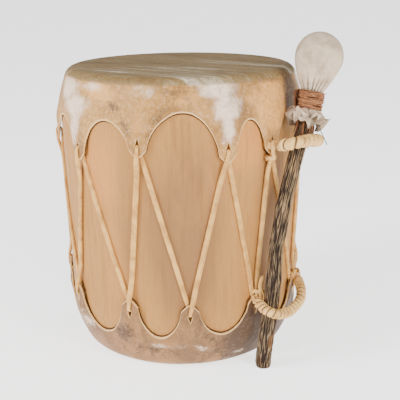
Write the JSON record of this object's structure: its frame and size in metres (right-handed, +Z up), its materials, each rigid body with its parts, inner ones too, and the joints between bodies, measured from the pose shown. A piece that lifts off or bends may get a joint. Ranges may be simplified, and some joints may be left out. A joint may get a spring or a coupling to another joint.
{
  "type": "ceremonial log drum with beater",
  "caption": "Hollow log drum with laced rawhide heads and wrapped side handles that hold a leather-headed stick beater.",
  "frame": {"origin": "centre of the drum's underside, on the surface that it stands on", "axes": "+Z up along the drum's axis, -Y towards the viewer, with the beater at +X and -Y"},
  "size_m": [0.3505, 0.3229, 0.4044],
  "materials": {
    "log_wood": "smooth bare light wood with a fine upright grain",
    "rawhide": "dried mottled rawhide, satin",
    "thong_hide": "dried rawhide thong, matt",
    "wrap_hide": "wound rawhide strip, matt",
    "bark": "rough ridged bark",
    "soft_leather": "soft off-white leather, matt",
    "bark_twine": "coarse red-brown twine"
  },
  "bodies": {
    "root": {"shell": "log_wood", "top_head": "rawhide", "bottom_head": "rawhide", "lacing": "thong_hide", "upper_handle": "wrap_hide", "lower_handle": "wrap_hide", "upper_handle_tie_front": "thong_hide", "upper_handle_tie_back": "thong_hide", "lower_handle_tie_front": "thong_hide", "lower_handle_tie_back": "thong_hide", "beater_stick": "bark", "beater_head": "soft_leather", "beater_binding": "bark_twine"}
  },
  "joints": []
}
